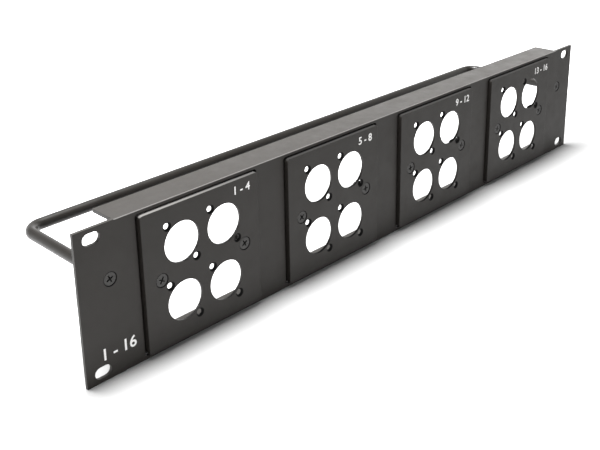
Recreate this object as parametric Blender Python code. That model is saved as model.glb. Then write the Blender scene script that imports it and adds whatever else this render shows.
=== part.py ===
"""A two-unit, 19 inch rack panel that carries four removable connector modules and a cable bar.

The world is in metres. X runs along the panel, Y points back into the rack and Z points up. The
origin is the centre of the bounding box's base. The dimensions below are in millimetres, from the
centre of the panel's front face, and HOME moves that point to its place in the world.
"""

import math

import bmesh
import bpy
from mathutils import Vector

MM = 0.001

# The folded steel panel
PANEL_WIDTH = 482.6
PANEL_HEIGHT = 88.1
PANEL_SHEET = 2.0
FLANGE_LENGTH = 434.0
FLANGE_BACK = 19.0
FOLD_RADIUS = 0.6
FOLD_INNER_RADIUS = 0.5
RACK_SLOT_X = 231.0
RACK_SLOT_Z = 38.2
RACK_SLOT_LENGTH = 10.4
RACK_SLOT_WIDTH = 6.8

# The windows that the modules sit in
WINDOW_PITCH = 107.6
WINDOW_WIDTH = 85.6
WINDOW_HEIGHT = 83.9
WINDOW_CORNER = 1.8

# The modules: shallow sheet pans that stand proud of the panel
MODULE_WIDTH = 82.8
MODULE_HEIGHT = 82.1
MODULE_CORNER = 1.8
MODULE_SHEET = 1.5
MODULE_PROUD = 2.35
MODULE_RIM_BACK = 2.0
MODULE_EDGE = 0.25

# The connector cut-outs in each module: a round hole between two small countersunk ones
CONNECTOR_X = 15.0
CONNECTOR_Z = 17.65
CONNECTOR_HOLE = 24.0
FIXING_HOLE_X = 9.5
FIXING_HOLE_Z = 12.0
FIXING_HOLE = 3.4
FIXING_SINK = 5.5

# The countersunk screws, and the holes that they sit in
SCREW_X = 30.0
SCREW_SHANK = 4.0
SCREW_HEAD = 7.4
SCREW_HEAD_RIM = 0.2
SCREW_BELOW_FACE = 0.3
SCREW_SINK = 8.4
SCREW_HOLE = 4.6
MODULE_SCREW_LENGTH = 10.0
BAR_SCREW_LENGTH = 12.0
CROSS_SPAN = 4.4
CROSS_SLOT = 0.95
CROSS_DEPTH = 1.6

# The backing strips that close the gaps round the modules and take their screws
BACKING_GAP = 0.3
BACKING_SHEET = 1.5
BACKING_WIDTH = 428.0
BACKING_HEIGHT = 83.2
BACKING_OPEN_WIDTH = 79.0
BACKING_OPEN_HEIGHT = 78.0
BACKING_JOINT_GAP = 0.3
TONGUE_HEIGHT = 7.2
COLLAR_DIAMETER = 6.4
COLLAR_BACK = 2.0

# The bent rod that the cables are tied to
BAR_RADIUS = 3.5
BAR_X = 222.0
BAR_Z = 12.4
BAR_BACK = 85.1
BAR_BEND = 10.0
BAR_GAP = 0.3
BAR_BORE_DEPTH = 14.0

HOME = Vector((0, (MODULE_PROUD - BAR_BACK - BAR_RADIUS) / 2, PANEL_HEIGHT / 2))
WINDOW_CENTRES = [WINDOW_PITCH * place for place in (-1.5, -0.5, 0.5, 1.5)]

STEEL_BLACK = (0.060, 0.057, 0.053)
MODULE_BLACK = (0.055, 0.052, 0.049)
SCREW_GREY = (0.085, 0.083, 0.080)
BAR_BLACK = (0.045, 0.043, 0.040)
BACKING_BLACK = (0.050, 0.048, 0.045)


def clear_scene():
    for obj in list(bpy.data.objects):
        bpy.data.objects.remove(obj)


def coated(name, color, roughness, metallic=0.0):
    """A plain material of its own for one node."""
    material = bpy.data.materials.new(name)
    material.use_nodes = True
    shader = material.node_tree.nodes["Principled BSDF"]
    shader.inputs["Base Color"].default_value = (*color, 1)
    shader.inputs["Roughness"].default_value = roughness
    shader.inputs["Metallic"].default_value = metallic
    return material


def circle(diameter, steps):
    turn = math.tau / steps
    return [(diameter / 2 * math.cos(i * turn), diameter / 2 * math.sin(i * turn)) for i in range(steps)]


def rounded_rectangle(width, height, radius, steps=6):
    """The outline of a rectangle with round corners, as (x, z) points. A full radius makes a slot."""
    points = []
    for corner, (side_x, side_z) in enumerate(((1, 1), (-1, 1), (-1, -1), (1, -1))):
        for i in range(steps + 1):
            angle = math.pi / 2 * (corner + i / steps)
            x = side_x * (width / 2 - radius) + radius * math.cos(angle)
            z = side_z * (height / 2 - radius) + radius * math.sin(angle)
            points.append((x, z))
    return points


def slot(length, width, steps=8):
    """The outline of a slot with round ends, along X."""
    points = []
    for side, start in ((1, -math.pi / 2), (-1, math.pi / 2)):
        for i in range(steps + 1):
            angle = start + math.pi * i / steps
            x = side * (length - width) / 2 + width / 2 * math.cos(angle)
            z = width / 2 * math.sin(angle)
            points.append((x, z))
    return points


def turned(outline, angle):
    c, s = math.cos(angle), math.sin(angle)
    return [(x * c - z * s, x * s + z * c) for x, z in outline]


def cross(span, width):
    """The outline of a cross with four equal arms."""
    reach, side = span / 2, width / 2
    arm = [(reach, -side), (reach, side), (side, side)]
    points = []
    for quarter in range(4):
        points += turned(arm, math.pi / 2 * quarter)
    return points


def at(outline, y, x=0.0, z=0.0):
    """An (x, z) outline set at one depth, about one centre."""
    return [Vector((px + x, y, pz + z)) for px, pz in outline]


def lofted(name, sections):
    """A closed body through sections that have the same number of points, capped at both ends."""
    mesh = bmesh.new()
    rings = [[mesh.verts.new((point + HOME) * MM) for point in section] for section in sections]
    for near, far in zip(rings, rings[1:]):
        for i in range(len(near)):
            mesh.faces.new((near[i - 1], near[i], far[i], far[i - 1]))
    mesh.faces.new(rings[0])
    mesh.faces.new(rings[-1])
    bmesh.ops.recalc_face_normals(mesh, faces=mesh.faces)
    data = bpy.data.meshes.new(name)
    mesh.to_mesh(data)
    mesh.free()
    obj = bpy.data.objects.new(name, data)
    bpy.context.scene.collection.objects.link(obj)
    return obj


def combined(body, others, operation):
    """Unites the body with the others, or cuts them from it, and removes them."""
    for other in others:
        modifier = body.modifiers.new(other.name, "BOOLEAN")
        modifier.operation = operation
        modifier.solver = "EXACT"
        modifier.object = other
    graph = bpy.context.evaluated_depsgraph_get()
    result = bpy.data.meshes.new_from_object(body.evaluated_get(graph))
    body.modifiers.clear()
    body.data = result
    for other in others:
        bpy.data.objects.remove(other)
    return body


def through_cutter(outline, front, back, x=0.0, z=0.0):
    """A cutter for a straight hole through a sheet that lies between two depths."""
    return lofted("through_cutter", [at(outline, front - 1, x, z), at(outline, back + 1, x, z)])


def sink_cutter(sink, hole, steps, front, back, x, z):
    """A cutter for a hole with a 90 degree countersink that is flush with the front of a sheet."""
    cone_end = front + (sink - hole) / 2
    sections = [
        at(circle(sink + 2, steps), front - 1, x, z),
        at(circle(hole, steps), cone_end, x, z),
        at(circle(hole, steps), max(back, cone_end) + 1, x, z),
    ]
    return lofted("sink_cutter", sections)


def arc(centre_y, centre_z, radius, start, end, steps=5):
    """Points of an arc in the Y-Z plane. The angles are in degrees from +Y towards +Z."""
    points = []
    for i in range(steps + 1):
        angle = math.radians(start + (end - start) * i / steps)
        points.append((centre_y + radius * math.cos(angle), centre_z + radius * math.sin(angle)))
    return points


def channel_profile():
    """The panel's folded section: the face with a flange going back from its top and bottom."""
    half = PANEL_HEIGHT / 2
    fold = half - FOLD_RADIUS
    inner = half - PANEL_SHEET - FOLD_INNER_RADIUS
    inner_y = PANEL_SHEET + FOLD_INNER_RADIUS
    profile = [(FLANGE_BACK, -half)]
    profile += arc(FOLD_RADIUS, -fold, FOLD_RADIUS, 270, 180)
    profile += arc(FOLD_RADIUS, fold, FOLD_RADIUS, 180, 90)
    profile += [(FLANGE_BACK, half), (FLANGE_BACK, half - PANEL_SHEET)]
    profile += arc(inner_y, inner, FOLD_INNER_RADIUS, 90, 180)
    profile += arc(inner_y, -inner, FOLD_INNER_RADIUS, 180, 270)
    profile += [(FLANGE_BACK, PANEL_SHEET - half)]
    return profile


def rack_ear(side):
    """One end of the panel's face, with a tongue that runs into the folded part to unite with it."""
    root = side * FLANGE_LENGTH / 2
    end = side * PANEL_WIDTH / 2
    tongue = root - side * 6
    half = PANEL_HEIGHT / 2
    low = half - 8
    outline = [(root, -half), (end, -half), (end, half), (root, half)]
    outline += [(root, low), (tongue, low), (tongue, -low), (root, -low)]
    return lofted("rack_ear", [at(outline, 0), at(outline, PANEL_SHEET)])


def make_panel():
    profile = channel_profile()
    ends = (-FLANGE_LENGTH / 2, FLANGE_LENGTH / 2)
    panel = lofted("frame_panel", [[Vector((x, y, z)) for y, z in profile] for x in ends])
    combined(panel, [rack_ear(-1), rack_ear(1)], "UNION")
    cutters = []
    window = rounded_rectangle(WINDOW_WIDTH, WINDOW_HEIGHT, WINDOW_CORNER)
    for x in WINDOW_CENTRES:
        cutters.append(through_cutter(window, 0, PANEL_SHEET, x))
    rack_slot = slot(RACK_SLOT_LENGTH, RACK_SLOT_WIDTH)
    for side in (-1, 1):
        for row in (-1, 1):
            cutters.append(through_cutter(rack_slot, 0, PANEL_SHEET, side * RACK_SLOT_X, row * RACK_SLOT_Z))
        cutters.append(sink_cutter(SCREW_SINK, SCREW_HOLE, 28, 0, PANEL_SHEET, side * BAR_X, BAR_Z))
    return combined(panel, cutters, "DIFFERENCE")


def pan_section(inset, y, x):
    """The module's rounded outline, drawn in by an inset, at one depth."""
    radius = MODULE_CORNER - min(inset, MODULE_CORNER - 0.3)
    return at(rounded_rectangle(MODULE_WIDTH - 2 * inset, MODULE_HEIGHT - 2 * inset, radius), y, x)


def make_module(number, x):
    front = -MODULE_PROUD
    sections = []
    for i in range(4):
        angle = math.pi / 2 * i / 3
        inset = MODULE_EDGE * (1 - math.sin(angle))
        sections.append(pan_section(inset, front + MODULE_EDGE * (1 - math.cos(angle)), x))
    sections.append(pan_section(0, MODULE_RIM_BACK, x))
    sections.append(pan_section(MODULE_SHEET, MODULE_RIM_BACK, x))
    sections.append(pan_section(MODULE_SHEET, front + MODULE_SHEET, x))
    module = lofted(f"module_plate_{number}", sections)

    back = front + MODULE_SHEET
    cutters = []
    for column in (-1, 1):
        for row in (-1, 1):
            hole_x = x + column * CONNECTOR_X
            hole_z = row * CONNECTOR_Z
            cutters.append(through_cutter(circle(CONNECTOR_HOLE, 48), front, back, hole_x, hole_z))
            for corner in (-1, 1):
                small_x = hole_x + corner * FIXING_HOLE_X
                small_z = hole_z - corner * FIXING_HOLE_Z
                cutters.append(sink_cutter(FIXING_SINK, FIXING_HOLE, 24, front, back, small_x, small_z))
        cutters.append(sink_cutter(SCREW_SINK, SCREW_HOLE, 28, front, back, x + column * SCREW_X, 0))
    return combined(module, cutters, "DIFFERENCE")


def make_screw(name, face_y, x, z, length, angle):
    """A countersunk machine screw with a cross recess, driven in along +Y from a sheet's front face."""
    top = face_y + SCREW_BELOW_FACE
    rim = top + SCREW_HEAD_RIM
    cone_end = rim + (SCREW_HEAD - SCREW_SHANK) / 2
    tip = top + length
    stations = [
        (top, SCREW_HEAD - 0.2),
        (top + 0.1, SCREW_HEAD),
        (rim, SCREW_HEAD),
        (cone_end, SCREW_SHANK),
        (tip - 0.6, SCREW_SHANK),
        (tip, SCREW_SHANK - 1.2),
    ]
    screw = lofted(name, [at(circle(diameter, 28), y, x, z) for y, diameter in stations])
    wide = turned(cross(CROSS_SPAN, CROSS_SLOT), angle)
    narrow = turned(cross(CROSS_SPAN * 0.45, CROSS_SLOT * 0.6), angle)
    sections = [
        at(wide, top - 0.5, x, z),
        at(wide, top + 0.3, x, z),
        at(narrow, top + CROSS_DEPTH, x, z),
    ]
    return combined(screw, [lofted("recess_cutter", sections)], "DIFFERENCE")


def make_backing_rail(name, side):
    """One of the two long strips that run above and below the modules' openings."""
    width = (BACKING_HEIGHT - BACKING_OPEN_HEIGHT) / 2
    outline = rounded_rectangle(BACKING_WIDTH, width, 0.5, 2)
    z = side * (BACKING_HEIGHT - width) / 2
    front = PANEL_SHEET + BACKING_GAP
    return lofted(name, [at(outline, front, z=z), at(outline, front + BACKING_SHEET, z=z)])


def make_backing_post(number):
    """An upright strip behind the panel, with a tongue and a collar for each screw beside it."""
    front = PANEL_SHEET + BACKING_GAP
    back = front + BACKING_SHEET
    left, right = -BACKING_WIDTH / 2, BACKING_WIDTH / 2
    reaches = []
    if number > 0:
        left = WINDOW_CENTRES[number - 1] + BACKING_OPEN_WIDTH / 2
        reaches.append((left + 1, WINDOW_CENTRES[number - 1] + SCREW_X))
    if number < len(WINDOW_CENTRES):
        right = WINDOW_CENTRES[number] - BACKING_OPEN_WIDTH / 2
        reaches.append((right - 1, WINDOW_CENTRES[number] - SCREW_X))
    outline = rounded_rectangle(right - left, BACKING_OPEN_HEIGHT - 2 * BACKING_JOINT_GAP, 0.5, 2)
    middle = (left + right) / 2
    post = lofted(f"backing_post_{number + 1}", [at(outline, front, middle), at(outline, back, middle)])
    additions = []
    bores = []
    for root, screw_x in reaches:
        tongue = slot(abs(root - screw_x) + TONGUE_HEIGHT, TONGUE_HEIGHT)
        tongue_x = (root + screw_x) / 2
        rim = circle(COLLAR_DIAMETER, 28)
        collar_end = back + COLLAR_BACK
        additions.append(lofted("tongue", [at(tongue, front, tongue_x), at(tongue, back, tongue_x)]))
        additions.append(lofted("collar", [at(rim, back - 0.5, screw_x), at(rim, collar_end, screw_x)]))
        bores.append(through_cutter(circle(SCREW_HOLE, 28), front, collar_end, screw_x))
    combined(post, additions, "UNION")
    return combined(post, bores, "DIFFERENCE")


def make_bar():
    """A round rod bent into a U, with a bore up each end for its screw, as one run of circles."""
    front = PANEL_SHEET + BAR_GAP
    bore_end = front + BAR_BORE_DEPTH
    straight_end = BAR_BACK - BAR_BEND
    path = [
        (bore_end, SCREW_HOLE),
        (front, SCREW_HOLE),
        (front, 2 * BAR_RADIUS - 1),
        (front + 0.5, 2 * BAR_RADIUS),
    ]
    bend_steps = 9

    left = [at(circle(diameter, 24), y, -BAR_X, BAR_Z) for y, diameter in path]
    for i in range(bend_steps + 1):
        angle = math.pi / 2 * i / bend_steps
        middle_x = -BAR_X + BAR_BEND * (1 - math.cos(angle))
        middle_y = straight_end + BAR_BEND * math.sin(angle)
        section = []
        for across, up in circle(2 * BAR_RADIUS, 24):
            x = middle_x + across * math.cos(angle)
            y = middle_y - across * math.sin(angle)
            section.append(Vector((x, y, BAR_Z + up)))
        left.append(section)
    right = [[Vector((-point.x, point.y, point.z)) for point in section] for section in reversed(left)]
    return lofted("strain_relief_bar", left + right)


def build():
    clear_scene()
    panel = make_panel()
    panel.data.materials.append(coated("frame_coat", STEEL_BLACK, 0.55))
    for number, x in enumerate(WINDOW_CENTRES, start=1):
        module = make_module(number, x)
        module.data.materials.append(coated(f"module_coat_{number}", MODULE_BLACK, 0.5))
        for side, mark in ((-1, "left"), (1, "right")):
            name = f"module_screw_{number}_{mark}"
            angle = math.radians(23 + 67 * number + 31 * side)
            screw = make_screw(name, -MODULE_PROUD, x + side * SCREW_X, 0, MODULE_SCREW_LENGTH, angle)
            screw.data.materials.append(coated(f"{name}_finish", SCREW_GREY, 0.4))
    for side, mark in ((-1, "left"), (1, "right")):
        name = f"bar_screw_{mark}"
        screw = make_screw(name, 0, side * BAR_X, BAR_Z, BAR_SCREW_LENGTH, math.radians(40 + 15 * side))
        screw.data.materials.append(coated(f"{name}_finish", SCREW_GREY, 0.4))

    strips = [make_backing_post(number) for number in range(len(WINDOW_CENTRES) + 1)]
    strips += [make_backing_rail("backing_rail_lower", -1), make_backing_rail("backing_rail_upper", 1)]
    for strip in strips:
        strip.data.materials.append(coated(f"{strip.name}_coat", BACKING_BLACK, 0.55))

    make_bar().data.materials.append(coated("bar_coat", BAR_BLACK, 0.45))


build()
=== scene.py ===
"""The looks of the patch bay: its finishes, the printed numbers, the studio and the camera.

Everything is in metres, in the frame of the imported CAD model: X along the panel, Y towards the back
of the rack and Z up, from the centre of the bounding box's base.
"""

import math

import bmesh
import bpy
from mathutils import Matrix, Vector


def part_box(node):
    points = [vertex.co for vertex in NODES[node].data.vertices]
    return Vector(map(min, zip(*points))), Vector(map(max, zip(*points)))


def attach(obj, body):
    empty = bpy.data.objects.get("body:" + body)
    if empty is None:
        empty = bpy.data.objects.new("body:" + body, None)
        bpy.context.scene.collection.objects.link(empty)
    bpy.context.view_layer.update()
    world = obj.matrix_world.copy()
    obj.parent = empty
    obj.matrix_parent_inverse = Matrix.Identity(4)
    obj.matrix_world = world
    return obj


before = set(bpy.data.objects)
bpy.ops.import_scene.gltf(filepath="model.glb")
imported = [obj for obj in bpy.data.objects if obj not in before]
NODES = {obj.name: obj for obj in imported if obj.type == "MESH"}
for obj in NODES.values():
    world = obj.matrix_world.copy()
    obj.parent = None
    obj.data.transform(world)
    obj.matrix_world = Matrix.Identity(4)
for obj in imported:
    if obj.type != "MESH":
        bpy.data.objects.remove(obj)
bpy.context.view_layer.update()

MM = 0.001
PANEL_LOW, PANEL_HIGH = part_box("frame_panel")
PANEL_FRONT = PANEL_LOW.y
PANEL_MIDDLE = (PANEL_LOW.z + PANEL_HIGH.z) / 2
MODULES = [f"module_plate_{number}" for number in (1, 2, 3, 4)]
BACKING = sorted(name for name in NODES if name.startswith("backing_"))
PRINT_LIFT = 0.02 * MM
PRINT_THICK = 0.04 * MM
THREAD_ROOT = 1.95 * MM
THREAD_CREST = 2.15 * MM
THREAD_PITCH = 0.7 * MM
THREAD_LENGTH = 4.2 * MM
THREAD_END_GAP = 0.8 * MM
BACKING_SHEET = 1.5 * MM
WELD_INSET = 6 * MM
WELD_SPACING = 27 * MM
SINK_INSET = 2 * MM

# The finishes: brightness in linear light, roughness, and a coat that reflects less than the default
COAT_SPECULAR = 0.28
FRAME_LEVEL = 0.020
MODULE_LEVEL = 0.019
COAT_ROUGHNESS = 0.46
SCREW_LEVEL = 0.055
SCREW_ROUGHNESS = 0.38

# The studio: one softbox, and a floor with painted light behind the panel, where it is whiter, painted
# shade in front and to the right, where it is darker, and whiter far away from it
SOFTBOX_PLACE = (-0.10, 0.19, 1.7)
SOFTBOX_SIZE = (0.70, 0.50)
SOFTBOX_POWER = 105
FLOOR_SIZE = 8
FLOOR_LEFT, FLOOR_RIGHT, FLOOR_BEHIND, FLOOR_FAR = 0.45, 0.31, 0.8, 0.9

# The camera, from the middle of the panel's front face
CAMERA_OFFSET = Vector((-448.5 * MM, -359.5 * MM, 239.3 * MM))
CAMERA_YAW = math.radians(46.40)
CAMERA_PITCH = math.radians(18.08)
CAMERA_ROLL = math.radians(-1.61)


class Shading:
    """A material under construction: short calls that add nodes and link them."""

    def __init__(self, name):
        self.material = bpy.data.materials.new(name)
        self.material.use_nodes = True
        self.nodes = self.material.node_tree.nodes
        self.links = self.material.node_tree.links
        self.surface = self.nodes["Principled BSDF"]

    def add(self, kind, inputs=None, **settings):
        node = self.nodes.new(kind)
        for key, value in settings.items():
            setattr(node, key, value)
        for key, value in (inputs or {}).items():
            self.feed(value, node.inputs[key])
        return node

    def feed(self, value, socket):
        """Links an output to a socket, or sets a plain value on it."""
        if isinstance(value, bpy.types.NodeSocket):
            self.links.new(value, socket)
        else:
            socket.default_value = value

    def place(self):
        return self.add("ShaderNodeTexCoord").outputs["Object"]

    def noise(self, scale, detail=2.0, roughness=0.5):
        inputs = {"Vector": self.place(), "Scale": scale, "Detail": detail, "Roughness": roughness}
        return self.add("ShaderNodeTexNoise", inputs).outputs["Fac"]

    def remap(self, value, low, high, to_low, to_high):
        inputs = {"Value": value, "From Min": low, "From Max": high}
        inputs.update({"To Min": to_low, "To Max": to_high})
        return self.add("ShaderNodeMapRange", inputs).outputs["Result"]

    def math(self, operation, a, b=0.0):
        return self.add("ShaderNodeMath", {0: a, 1: b}, operation=operation).outputs[0]

    def mixed(self, factor, first, second):
        node = self.add("ShaderNodeMix", data_type="RGBA")
        self.feed(factor, node.inputs["Factor"])
        self.feed(first, node.inputs["A"])
        self.feed(second, node.inputs["B"])
        return node.outputs["Result"]

    def bump(self, height, strength, distance, normal=None):
        inputs = {"Height": height, "Strength": strength, "Distance": distance}
        if normal is not None:
            inputs["Normal"] = normal
        return self.add("ShaderNodeBump", inputs).outputs["Normal"]

    def facing(self, axis):
        """How far the flat surface faces along one axis of the object, from -1 to 1."""
        normal = self.add("ShaderNodeNewGeometry").outputs["True Normal"]
        return self.add("ShaderNodeSeparateXYZ", {"Vector": normal}).outputs[axis]

    def edge_wear(self, radius):
        """(the normal with its edges rounded off, and a mask that is 1 along sharp outer edges)"""
        rounded = self.add("ShaderNodeBevel", {"Radius": radius}, samples=6).outputs["Normal"]
        flat = self.add("ShaderNodeNewGeometry").outputs["Normal"]
        product = self.add("ShaderNodeVectorMath", {0: rounded, 1: flat}, operation="DOT_PRODUCT")
        return rounded, self.remap(product.outputs["Value"], 0.97, 0.80, 0.0, 1.0)


def gray(level, warmth=0.0):
    """A nearly neutral colour in linear light, warmer with more warmth."""
    return (level * (1 + warmth), level, level * (1 - warmth), 1)


def countersinks(coat, low, high):
    """A mask that is 1 on the 45 degree faces of the countersinks between two corners of a box."""
    slope = coat.math("ABSOLUTE", coat.math("ADD", coat.facing("Y"), math.sqrt(0.5)))
    mask = coat.math("LESS_THAN", slope, 0.12)
    place = coat.add("ShaderNodeSeparateXYZ", {"Vector": coat.place()})
    for axis, start, end in (("X", low.x, high.x), ("Z", low.z, high.z)):
        off_centre = coat.math("SUBTRACT", place.outputs[axis], (start + end) / 2)
        reach = (end - start) / 2 - SINK_INSET
        inside = coat.math("LESS_THAN", coat.math("ABSOLUTE", off_centre), reach)
        mask = coat.math("MULTIPLY", mask, inside)
    return mask


def fold_highlight_mask(coat):
    """A mask that is 1 on the round of the panel's top fold, where a highlight is painted."""
    upward = coat.math("GREATER_THAN", coat.facing("Z"), 0.25)
    forward = coat.math("LESS_THAN", coat.facing("Y"), -0.25)
    return coat.math("MULTIPLY", upward, forward)


def powder_coat(name, level, roughness, wear_and_highlight=0.035, top_edge=None, shaded_sinks_in=None, highlit_fold=False):
    """Fine black powder coat: tiny orange-peel dimples, cloudy gloss, and a lighter line along edges.

    top_edge finishes the upward faces, the countersinks in the box given for them get painted shade,
    near black, and the fold switch paints a highlight on the round of the top fold.
    """
    coat = Shading(name)
    coat.surface.inputs["Specular IOR Level"].default_value = COAT_SPECULAR
    grain = coat.noise(2600, 3.0, 0.6)
    cloud = coat.noise(35, 3.0)
    speck = coat.remap(coat.noise(5200, 1.0), 0.66, 0.74, 0.0, 1.0)
    clouded = coat.remap(cloud, 0.35, 0.65, 0.0, 1.0)
    color = coat.mixed(clouded, gray(level * 0.93, 0.14), gray(level * 1.07, 0.12))
    color = coat.mixed(coat.math("MULTIPLY", speck, 0.25), color, gray(level * 2.2, 0.03))
    rounded, edge = coat.edge_wear(0.28 * MM)
    chips = coat.remap(coat.noise(700, 4.0, 0.7), 0.42, 0.60, 0.15, 1.0)
    color = coat.mixed(coat.math("MULTIPLY", edge, chips), color, gray(wear_and_highlight, 0.03))
    gloss = coat.remap(coat.noise(90, 4.0, 0.65), 0.3, 0.7, roughness - 0.05, roughness + 0.06)
    if top_edge is not None:
        upward = coat.math("GREATER_THAN", coat.facing("Z"), 0.6)
        edge_color, edge_roughness = top_edge(coat)
        color = coat.mixed(upward, color, edge_color)
        gloss = coat.remap(upward, 0.0, 1.0, gloss, edge_roughness)
    # painted highlight: the round of the top fold is coloured lighter than the coat
    if highlit_fold:
        color = coat.mixed(fold_highlight_mask(coat), color, gray(0.13, 0.03))
    # painted shade: the countersinks' cones are coloured near black, standing for the shade inside them
    if shaded_sinks_in is not None:
        sink_shade = countersinks(coat, *shaded_sinks_in)
        color = coat.mixed(sink_shade, color, gray(0.002))
        gloss = coat.remap(sink_shade, 0.0, 1.0, gloss, 0.9)
    coat.feed(color, coat.surface.inputs["Base Color"])
    coat.feed(gloss, coat.surface.inputs["Roughness"])
    coat.feed(coat.bump(grain, 0.30, 0.05 * MM, rounded), coat.surface.inputs["Normal"])
    return coat.material


def highlit_top_edge(coat):
    """The first module's top edge: a painted highlight, brightest towards the panel's left end, with faint
    streaks.
    """
    low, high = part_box(MODULES[0])
    along = coat.add("ShaderNodeSeparateXYZ", {"Vector": coat.place()}).outputs["X"]
    highlight_falloff = coat.remap(along, low.x, high.x, 1.0, 0.0)
    streaks = coat.remap(coat.noise(900, 4.0, 0.7), 0.3, 0.7, -0.08, 0.08)
    wear_and_highlight = coat.mixed(coat.math("ADD", highlight_falloff, streaks), gray(0.05, 0.03), gray(0.13, 0.04))
    return wear_and_highlight, 0.6


def dull_top_edge(coat):
    """The other modules' top edges: dull, with hardly any gloss in the coat."""
    return gray(0.016, 0.05), 0.95


def blackened_steel(name, level, roughness, middle):
    """A turned and blackened screw: faint rings about its own axis, along Y, and brighter edges."""
    steel = Shading(name)
    steel.surface.inputs["Metallic"].default_value = 0.85
    inputs = {"Vector": steel.place(), "Location": (-middle.x, 0, -middle.z)}
    centred = steel.add("ShaderNodeMapping", inputs).outputs["Vector"]
    turning = {"Vector": centred, "Scale": 1500.0, "Distortion": 0.6, "Detail": 2.0, "Detail Scale": 2.0}
    wave = steel.add("ShaderNodeTexWave", turning, wave_type="RINGS", rings_direction="Y")
    rings = wave.outputs["Fac"]
    blotch = steel.noise(900, 4.0, 0.65)
    rounded, edge = steel.edge_wear(0.16 * MM)
    blotched = steel.remap(blotch, 0.35, 0.65, 0.0, 1.0)
    color = steel.mixed(blotched, gray(level * 0.8, 0.03), gray(level * 1.2, 0.02))
    color = steel.mixed(edge, color, gray(level * 3.2, 0.02))
    steel.feed(color, steel.surface.inputs["Base Color"])
    gloss = steel.remap(blotch, 0.3, 0.7, roughness - 0.06, roughness + 0.08)
    steel.feed(gloss, steel.surface.inputs["Roughness"])
    steel.feed(steel.bump(rings, 0.12, 0.02 * MM, rounded), steel.surface.inputs["Normal"])
    return steel.material


def print_white(name):
    """Screen-printed white ink, slightly thin in places."""
    ink = Shading(name)
    ink.surface.inputs["Roughness"].default_value = 0.6
    thin = ink.remap(ink.noise(2400, 3.0, 0.6), 0.30, 0.45, 0.25, 0.0)
    ink.feed(ink.mixed(thin, gray(0.86, 0.01), gray(0.45, 0.02)), ink.surface.inputs["Base Color"])
    ink.feed(ink.bump(ink.noise(3000, 2.0), 0.2, 0.02 * MM), ink.surface.inputs["Normal"])
    return ink.material


def paint(name, material):
    """Gives one CAD node its finish."""
    obj = NODES[name]
    obj.data.materials.clear()
    obj.data.materials.append(material)


def paint_cad_nodes():
    frame_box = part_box("frame_panel")
    coat = powder_coat("frame_powder_coat", FRAME_LEVEL, COAT_ROUGHNESS, shaded_sinks_in=frame_box, highlit_fold=True)
    paint("frame_panel", coat)
    backing = powder_coat("backing_powder_coat", 0.009, 0.60)
    for name in BACKING:
        paint(name, backing)
    for number, name in enumerate(MODULES, start=1):
        # the first module's top edge gets a painted highlight, the others a dull coat
        edge = highlit_top_edge if number == 1 else dull_top_edge
        coat_name = f"module_powder_coat_{number}"
        coat = powder_coat(coat_name, MODULE_LEVEL, COAT_ROUGHNESS, top_edge=edge, shaded_sinks_in=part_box(name))
        paint(name, coat)
    paint("strain_relief_bar", powder_coat("bar_coat", 0.012, 0.36, wear_and_highlight=0.02))
    for name in NODES:
        if "_screw_" in name:
            low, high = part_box(name)
            middle = (low + high) / 2
            paint(name, blackened_steel(f"{name}_steel", SCREW_LEVEL, SCREW_ROUGHNESS, middle))


def printed(name, text, size, x, z, surface_y, body, ink):
    """Flat printed characters on a surface that faces -Y, centred on x and z."""
    curve = bpy.data.curves.new(name, "FONT")
    curve.body = text
    curve.size = size
    curve.align_x = "CENTER"
    curve.align_y = "CENTER"
    curve.extrude = PRINT_THICK / 2
    curve.offset = 0.016 * size
    curve.resolution_u = 4
    lettering = bpy.data.objects.new(f"{name}_curve", curve)
    bpy.context.scene.collection.objects.link(lettering)
    graph = bpy.context.evaluated_depsgraph_get()
    mesh = bpy.data.meshes.new_from_object(lettering.evaluated_get(graph))
    bpy.data.objects.remove(lettering)
    upright = Matrix.Rotation(math.pi / 2, 4, "X")
    mesh.transform(Matrix.Translation((x, surface_y - PRINT_LIFT - PRINT_THICK / 2, z)) @ upright)
    mesh.materials.append(ink)
    obj = bpy.data.objects.new(name, mesh)
    bpy.context.scene.collection.objects.link(obj)
    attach(obj, body)


def print_numbers():
    """The port range on each module, and the whole range on the panel's left end."""
    ink = print_white("white_ink")
    for number, name in enumerate(MODULES, start=1):
        low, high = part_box(name)
        last = 4 * number
        x = high.x - 12.5 * MM
        z = high.z - 6.5 * MM
        ports = f"{last - 3} - {last}"
        printed(f"port_range_{number}", ports, 7.0 * MM, x, z, low.y, f"module_{number}", ink)
    x = PANEL_LOW.x + 21 * MM
    z = PANEL_LOW.z + 15 * MM
    printed("port_range_all", "1 - 16", 9.5 * MM, x, z, PANEL_FRONT, "frame", ink)


def ride_along(name, mesh, material, body):
    """A finished bmesh as a piece of its own, on one body."""
    bmesh.ops.recalc_face_normals(mesh, faces=mesh.faces)
    data = bpy.data.meshes.new(name)
    mesh.to_mesh(data)
    mesh.free()
    data.materials.append(material)
    obj = bpy.data.objects.new(name, data)
    bpy.context.scene.collection.objects.link(obj)
    data.shade_smooth()
    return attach(obj, body)


def bridge(mesh, rings, around):
    """Faces between neighbouring rings of vertices. Around joins each ring's end to its start."""
    for near, far in zip(rings, rings[1:]):
        for i in range(0 if around else 1, len(near)):
            mesh.faces.new((near[i - 1], near[i], far[i], far[i - 1]))


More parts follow.
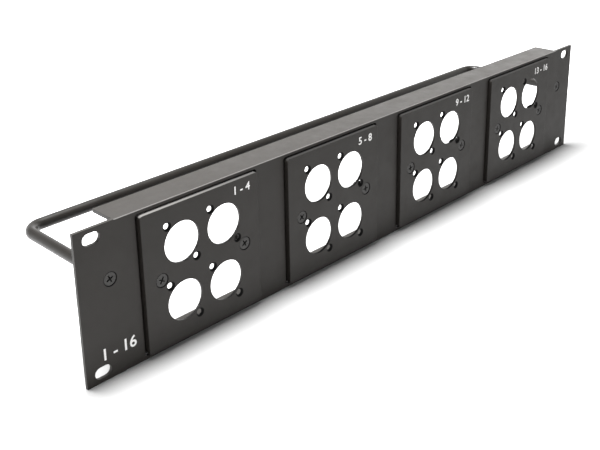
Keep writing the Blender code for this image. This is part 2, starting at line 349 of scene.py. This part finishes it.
def cut_threads():
    """The thread on the end of each module screw, which shows behind the backing's collars."""
    steps = 24
    turns = THREAD_LENGTH / THREAD_PITCH
    profile = ((THREAD_ROOT, -0.42), (THREAD_CREST, -0.06), (THREAD_CREST, 0.06), (THREAD_ROOT, 0.42))
    for name in NODES:
        if not name.startswith("module_screw_"):
            continue
        low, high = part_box(name)
        middle = (low + high) / 2
        mesh = bmesh.new()
        rings = []
        for step in range(int(steps * turns) + 1):
            angle = math.tau * step / steps
            along = high.y - THREAD_END_GAP - THREAD_PITCH * step / steps
            ring = []
            for radius, shift in profile:
                x = middle.x + radius * math.cos(angle)
                z = middle.z + radius * math.sin(angle)
                ring.append(mesh.verts.new((x, along + shift * THREAD_PITCH, z)))
            rings.append(ring)
        bridge(mesh, rings, around=True)
        mesh.faces.new(rings[0])
        mesh.faces.new(rings[-1])
        body = "module_" + name.split("_")[2]
        ride_along(f"thread_{name}", mesh, NODES[name].data.materials[0], body)


def weld_spots():
    """The shallow marks of the spot welds that hold the backing posts, on their backs."""
    profile = ((3.0, -0.05), (2.7, 0.05), (2.3, 0.10), (1.8, 0.02), (0.9, 0.0))
    steps = 28
    mesh = bmesh.new()
    posts = [name for name in BACKING if "post" in name]
    for name in posts:
        low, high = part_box(name)
        surface = low.y + BACKING_SHEET
        middle = (low.x + high.x) / 2
        if name == posts[0]:
            middle = low.x + WELD_INSET
        elif name == posts[-1]:
            middle = high.x - WELD_INSET
        for z in (-WELD_SPACING, 0, WELD_SPACING):
            rings = []
            for radius, rise in profile:
                ring = []
                for step in range(steps):
                    angle = math.tau * step / steps
                    across = radius * MM * math.cos(angle)
                    up = radius * MM * math.sin(angle)
                    point = (middle + across, surface + rise * MM, PANEL_MIDDLE + z + up)
                    ring.append(mesh.verts.new(point))
                rings.append(ring)
            bridge(mesh, rings, around=True)
            mesh.faces.new(rings[0])
            mesh.faces.new(rings[-1])
    ride_along("weld_spots", mesh, NODES[posts[0]].data.materials[0], "frame")


def make_floor():
    """A white floor with painted shade and light: darker in front of the panel, which deepens the contact
    shadow, darker still to the right, which dims the panel's reflection of it there, and whiter behind the
    panel, which washes out the shadows seen through the cut-outs.
    """
    bpy.ops.mesh.primitive_plane_add(size=FLOOR_SIZE)
    floor = bpy.context.object
    floor.name = "studio_floor"
    white = Shading("floor_white")
    white.surface.inputs["Roughness"].default_value = 0.9
    white.surface.inputs["Specular IOR Level"].default_value = 0.1
    place = white.add("ShaderNodeSeparateXYZ", {"Vector": white.place()}).outputs
    # painted shade: the floor darker towards the right, which dims the panel's reflection of it at its
    # right end
    across = white.remap(place["X"], -0.3, 0.4, 0.0, 1.0)
    tone = white.mixed(across, gray(FLOOR_LEFT), gray(FLOOR_RIGHT))
    # painted light: the floor whiter behind the panel, which washes out the shadows seen through the
    # cut-outs
    tone = white.mixed(white.remap(place["Y"], -0.03, 0.03, 0.0, 1.0), tone, gray(FLOOR_BEHIND))
    away = white.add("ShaderNodeVectorMath", {0: white.place()}, operation="LENGTH").outputs["Value"]
    tone = white.mixed(white.remap(away, 0.9, 1.8, 0.0, 1.0), tone, gray(FLOOR_FAR))
    white.feed(tone, white.surface.inputs["Base Color"])
    floor.data.materials.append(white.material)


def area_light(name, place, target, size, power):
    light = bpy.data.lights.new(name, "AREA")
    light.shape = "RECTANGLE"
    light.size, light.size_y = size
    light.energy = power
    obj = bpy.data.objects.new(name, light)
    obj.location = place
    obj.rotation_euler = (Vector(target) - Vector(place)).to_track_quat("-Z", "Y").to_euler()
    bpy.context.scene.collection.objects.link(obj)


def make_world():
    """White all round, brightest low down and off the panel's right end, and dimmer in front.

    Each ramp gives an axis of the direction, its range, and the factors at the range's two ends.
    """
    world = bpy.data.worlds.new("studio_white")
    world.use_nodes = True
    nodes, links = world.node_tree.nodes, world.node_tree.links
    direction = nodes.new("ShaderNodeSeparateXYZ")
    links.new(nodes.new("ShaderNodeTexCoord").outputs["Generated"], direction.inputs["Vector"])
    background = nodes["Background"]
    background.inputs["Color"].default_value = (1, 1, 1, 1)
    strength = background.inputs["Strength"]
    ramps = (("Z", 0.10, 0.62, 2.1, 0.25), ("X", 0.30, 0.95, 0.9, 1.9), ("Y", -0.30, 0.10, 0.60, 1.0))
    for axis, *limits in ramps:
        ramp = nodes.new("ShaderNodeMapRange")
        for key, value in zip(("From Min", "From Max", "To Min", "To Max"), limits):
            ramp.inputs[key].default_value = value
        links.new(direction.outputs[axis], ramp.inputs["Value"])
        product = nodes.new("ShaderNodeMath")
        product.operation = "MULTIPLY"
        product.inputs[1].default_value = 1
        links.new(ramp.outputs["Result"], product.inputs[0])
        links.new(product.outputs["Value"], strength)
        strength = product.inputs[1]
    bpy.context.scene.world = world


def make_lights():
    """One large softbox overhead and behind, so that the panel's shadow falls softly just in front."""
    below = (SOFTBOX_PLACE[0], SOFTBOX_PLACE[1], 0)
    area_light("overhead", SOFTBOX_PLACE, below, SOFTBOX_SIZE, SOFTBOX_POWER)


def make_camera():
    """The photograph's view: from the left, in front and above, with a little rise of the lens."""
    data = bpy.data.cameras.new("camera")
    data.sensor_width = 36
    data.lens = 54.9
    data.shift_x = 0.05
    data.shift_y = -0.20
    data.clip_start = 0.01
    yaw, pitch, roll = CAMERA_YAW, CAMERA_PITCH, CAMERA_ROLL
    level = math.cos(pitch)
    forward = Vector((level * math.cos(yaw), level * math.sin(yaw), -math.sin(pitch)))
    level_right = Vector((math.sin(yaw), -math.cos(yaw), 0))
    level_up = level_right.cross(forward)
    right = math.cos(roll) * level_right + math.sin(roll) * level_up
    up = math.cos(roll) * level_up - math.sin(roll) * level_right
    place = Vector((0, PANEL_FRONT, PANEL_MIDDLE)) + CAMERA_OFFSET
    camera = bpy.data.objects.new("camera", data)
    turn = Matrix((right, up, -forward)).transposed().to_4x4()
    camera.matrix_world = Matrix.Translation(place) @ turn
    bpy.context.scene.collection.objects.link(camera)
    bpy.context.scene.camera = camera


paint_cad_nodes()
print_numbers()
cut_threads()
weld_spots()
make_floor()
make_world()
make_lights()
make_camera()
bpy.context.scene.view_settings.view_transform = "Standard"
